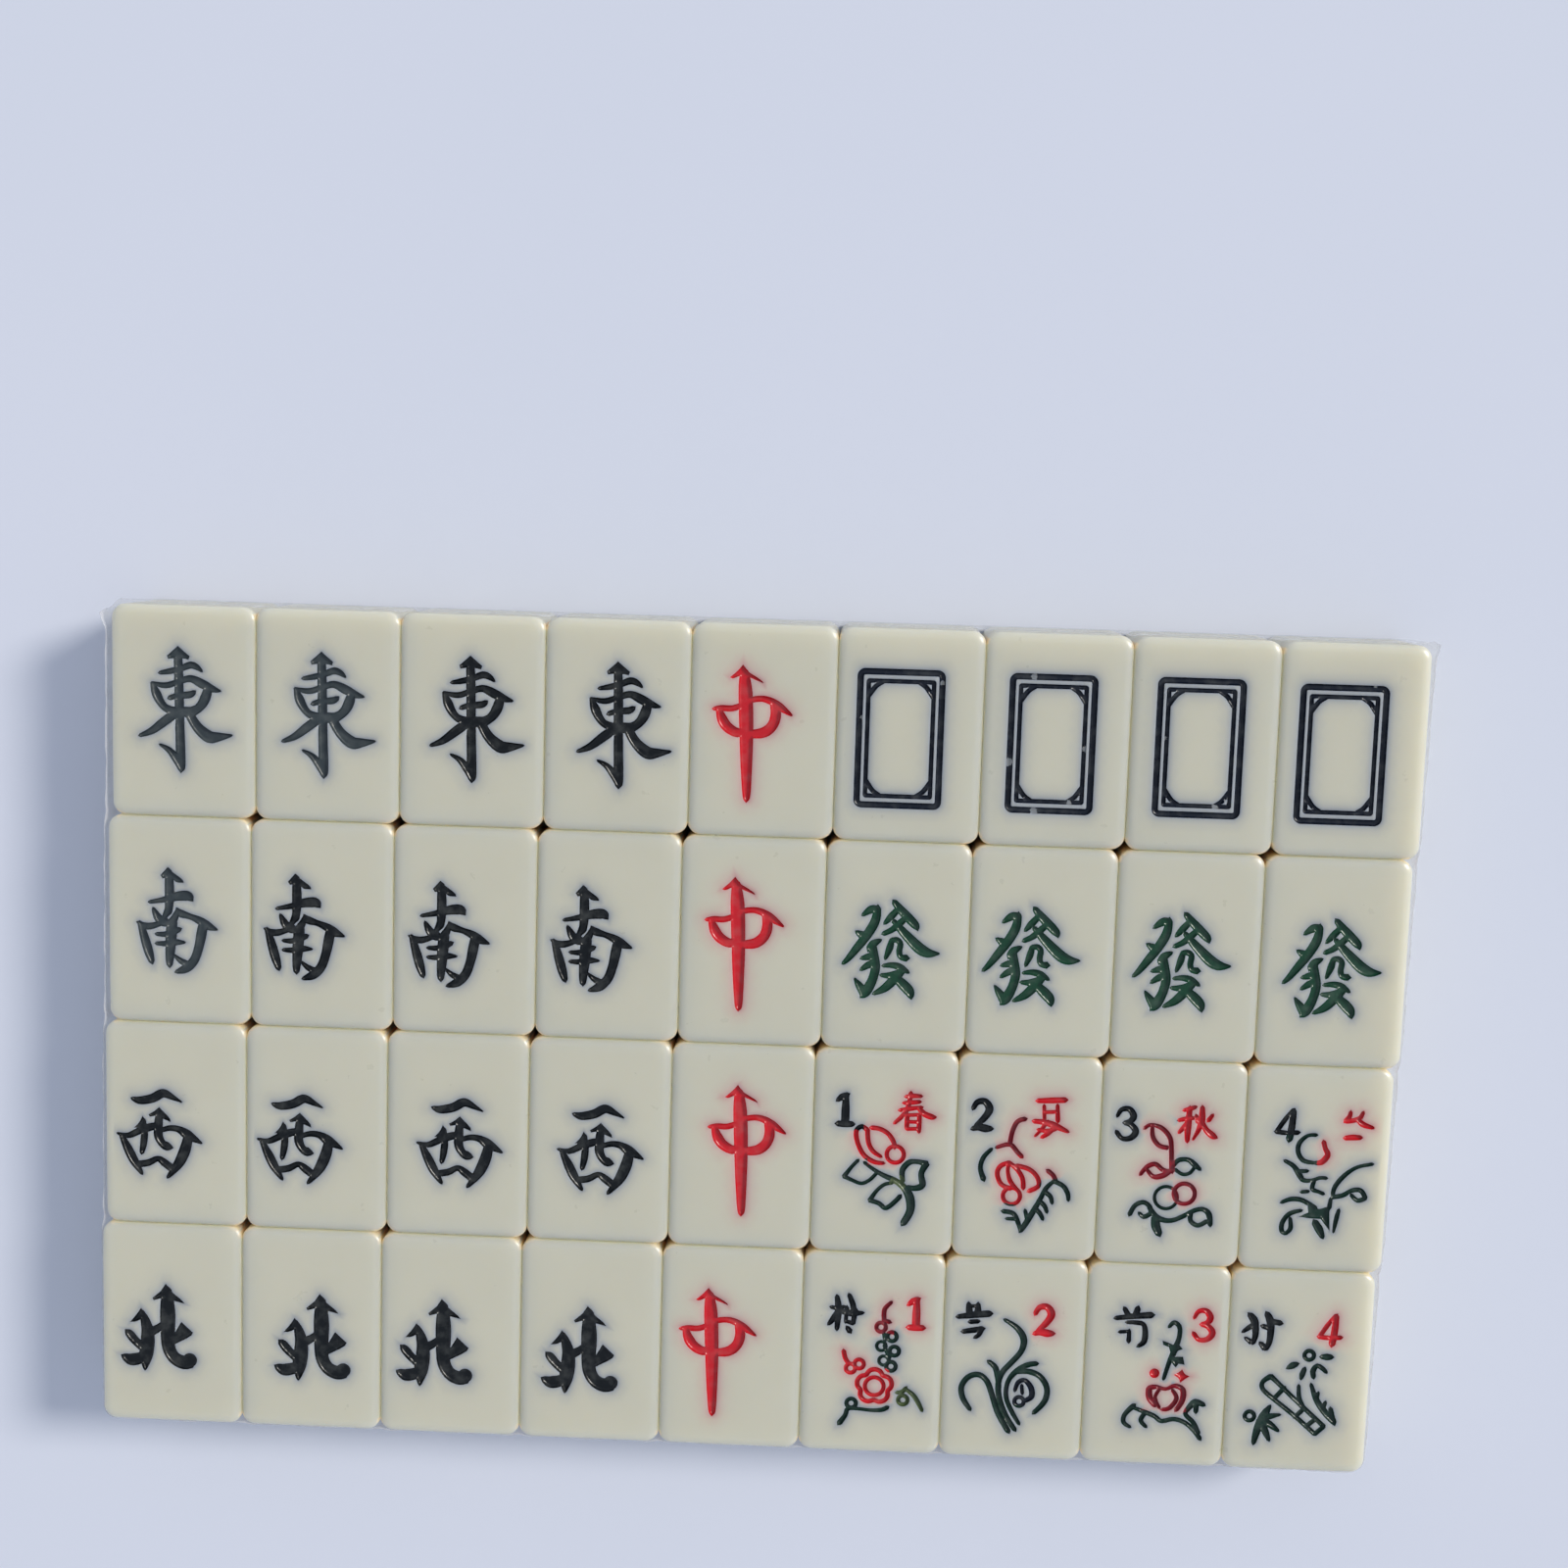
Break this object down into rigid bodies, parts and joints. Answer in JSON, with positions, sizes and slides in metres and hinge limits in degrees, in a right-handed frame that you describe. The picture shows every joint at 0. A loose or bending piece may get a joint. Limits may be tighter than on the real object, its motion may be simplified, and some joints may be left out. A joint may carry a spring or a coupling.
{
  "type": "mahjong tile pack",
  "caption": "Film-wrapped pack of small ivory game tiles with engraved and painted signs, lying face up; each tile lifts out of the open face of the film.",
  "frame": {"origin": "middle of the underside of the film, on the surface that the pack lies on", "axes": "+X along the rows towards the right of the signs, +Y towards the tops of the signs, +Z out of the faces"},
  "size_m": [0.1382, 0.0886, 0.0116],
  "materials": {
    "tile": "moulded ivory resin, tumbled to a soft gloss, signs engraved and filled with gloss paint",
    "film": "clear shrink film, slightly hazy and creased"
  },
  "bodies": {
    "film": {"film_wrap": "film"},
    "tile_east_1": {"tile_east_1": "tile"},
    "tile_east_2": {"tile_east_2": "tile"},
    "tile_east_3": {"tile_east_3": "tile"},
    "tile_east_4": {"tile_east_4": "tile"},
    "tile_red_1": {"tile_red_1": "tile"},
    "tile_white_1": {"tile_white_1": "tile"},
    "tile_white_2": {"tile_white_2": "tile"},
    "tile_white_3": {"tile_white_3": "tile"},
    "tile_white_4": {"tile_white_4": "tile"},
    "tile_south_1": {"tile_south_1": "tile"},
    "tile_south_2": {"tile_south_2": "tile"},
    "tile_south_3": {"tile_south_3": "tile"},
    "tile_south_4": {"tile_south_4": "tile"},
    "tile_red_2": {"tile_red_2": "tile"},
    "tile_green_1": {"tile_green_1": "tile"},
    "tile_green_2": {"tile_green_2": "tile"},
    "tile_green_3": {"tile_green_3": "tile"},
    "tile_green_4": {"tile_green_4": "tile"},
    "tile_west_1": {"tile_west_1": "tile"},
    "tile_west_2": {"tile_west_2": "tile"},
    "tile_west_3": {"tile_west_3": "tile"},
    "tile_west_4": {"tile_west_4": "tile"},
    "tile_red_3": {"tile_red_3": "tile"},
    "tile_spring": {"tile_spring": "tile"},
    "tile_summer": {"tile_summer": "tile"},
    "tile_autumn": {"tile_autumn": "tile"},
    "tile_winter": {"tile_winter": "tile"},
    "tile_north_1": {"tile_north_1": "tile"},
    "tile_north_2": {"tile_north_2": "tile"},
    "tile_north_3": {"tile_north_3": "tile"},
    "tile_north_4": {"tile_north_4": "tile"},
    "tile_red_4": {"tile_red_4": "tile"},
    "tile_plum": {"tile_plum": "tile"},
    "tile_orchid": {"tile_orchid": "tile"},
    "tile_chrysanthemum": {"tile_chrysanthemum": "tile"},
    "tile_bamboo": {"tile_bamboo": "tile"}
  },
  "joints": [
    {"name": "lift_east_1", "type": "slide", "parent": "film", "child": "tile_east_1", "axis": [0, 0, 1], "range_m": [0, 0.015]},
    {"name": "lift_east_2", "type": "slide", "parent": "film", "child": "tile_east_2", "axis": [0, 0, 1], "range_m": [0, 0.015]},
    {"name": "lift_east_3", "type": "slide", "parent": "film", "child": "tile_east_3", "axis": [0, 0, 1], "range_m": [0, 0.015]},
    {"name": "lift_east_4", "type": "slide", "parent": "film", "child": "tile_east_4", "axis": [0, 0, 1], "range_m": [0, 0.015]},
    {"name": "lift_red_1", "type": "slide", "parent": "film", "child": "tile_red_1", "axis": [0, 0, 1], "range_m": [0, 0.015]},
    {"name": "lift_white_1", "type": "slide", "parent": "film", "child": "tile_white_1", "axis": [0, 0, 1], "range_m": [0, 0.015]},
    {"name": "lift_white_2", "type": "slide", "parent": "film", "child": "tile_white_2", "axis": [0, 0, 1], "range_m": [0, 0.015]},
    {"name": "lift_white_3", "type": "slide", "parent": "film", "child": "tile_white_3", "axis": [0, 0, 1], "range_m": [0, 0.015]},
    {"name": "lift_white_4", "type": "slide", "parent": "film", "child": "tile_white_4", "axis": [0, 0, 1], "range_m": [0, 0.015]},
    {"name": "lift_south_1", "type": "slide", "parent": "film", "child": "tile_south_1", "axis": [0, 0, 1], "range_m": [0, 0.015]},
    {"name": "lift_south_2", "type": "slide", "parent": "film", "child": "tile_south_2", "axis": [0, 0, 1], "range_m": [0, 0.015]},
    {"name": "lift_south_3", "type": "slide", "parent": "film", "child": "tile_south_3", "axis": [0, 0, 1], "range_m": [0, 0.015]},
    {"name": "lift_south_4", "type": "slide", "parent": "film", "child": "tile_south_4", "axis": [0, 0, 1], "range_m": [0, 0.015]},
    {"name": "lift_red_2", "type": "slide", "parent": "film", "child": "tile_red_2", "axis": [0, 0, 1], "range_m": [0, 0.015]},
    {"name": "lift_green_1", "type": "slide", "parent": "film", "child": "tile_green_1", "axis": [0, 0, 1], "range_m": [0, 0.015]},
    {"name": "lift_green_2", "type": "slide", "parent": "film", "child": "tile_green_2", "axis": [0, 0, 1], "range_m": [0, 0.015]},
    {"name": "lift_green_3", "type": "slide", "parent": "film", "child": "tile_green_3", "axis": [0, 0, 1], "range_m": [0, 0.015]},
    {"name": "lift_green_4", "type": "slide", "parent": "film", "child": "tile_green_4", "axis": [0, 0, 1], "range_m": [0, 0.015]},
    {"name": "lift_west_1", "type": "slide", "parent": "film", "child": "tile_west_1", "axis": [0, 0, 1], "range_m": [0, 0.015]},
    {"name": "lift_west_2", "type": "slide", "parent": "film", "child": "tile_west_2", "axis": [0, 0, 1], "range_m": [0, 0.015]},
    {"name": "lift_west_3", "type": "slide", "parent": "film", "child": "tile_west_3", "axis": [0, 0, 1], "range_m": [0, 0.015]},
    {"name": "lift_west_4", "type": "slide", "parent": "film", "child": "tile_west_4", "axis": [0, 0, 1], "range_m": [0, 0.015]},
    {"name": "lift_red_3", "type": "slide", "parent": "film", "child": "tile_red_3", "axis": [0, 0, 1], "range_m": [0, 0.015]},
    {"name": "lift_spring", "type": "slide", "parent": "film", "child": "tile_spring", "axis": [0, 0, 1], "range_m": [0, 0.015]},
    {"name": "lift_summer", "type": "slide", "parent": "film", "child": "tile_summer", "axis": [0, 0, 1], "range_m": [0, 0.015]},
    {"name": "lift_autumn", "type": "slide", "parent": "film", "child": "tile_autumn", "axis": [0, 0, 1], "range_m": [0, 0.015]},
    {"name": "lift_winter", "type": "slide", "parent": "film", "child": "tile_winter", "axis": [0, 0, 1], "range_m": [0, 0.015]},
    {"name": "lift_north_1", "type": "slide", "parent": "film", "child": "tile_north_1", "axis": [0, 0, 1], "range_m": [0, 0.015]},
    {"name": "lift_north_2", "type": "slide", "parent": "film", "child": "tile_north_2", "axis": [0, 0, 1], "range_m": [0, 0.015]},
    {"name": "lift_north_3", "type": "slide", "parent": "film", "child": "tile_north_3", "axis": [0, 0, 1], "range_m": [0, 0.015]},
    {"name": "lift_north_4", "type": "slide", "parent": "film", "child": "tile_north_4", "axis": [0, 0, 1], "range_m": [0, 0.015]},
    {"name": "lift_red_4", "type": "slide", "parent": "film", "child": "tile_red_4", "axis": [0, 0, 1], "range_m": [0, 0.015]},
    {"name": "lift_plum", "type": "slide", "parent": "film", "child": "tile_plum", "axis": [0, 0, 1], "range_m": [0, 0.015]},
    {"name": "lift_orchid", "type": "slide", "parent": "film", "child": "tile_orchid", "axis": [0, 0, 1], "range_m": [0, 0.015]},
    {"name": "lift_chrysanthemum", "type": "slide", "parent": "film", "child": "tile_chrysanthemum", "axis": [0, 0, 1], "range_m": [0, 0.015]},
    {"name": "lift_bamboo", "type": "slide", "parent": "film", "child": "tile_bamboo", "axis": [0, 0, 1], "range_m": [0, 0.015]}
  ]
}
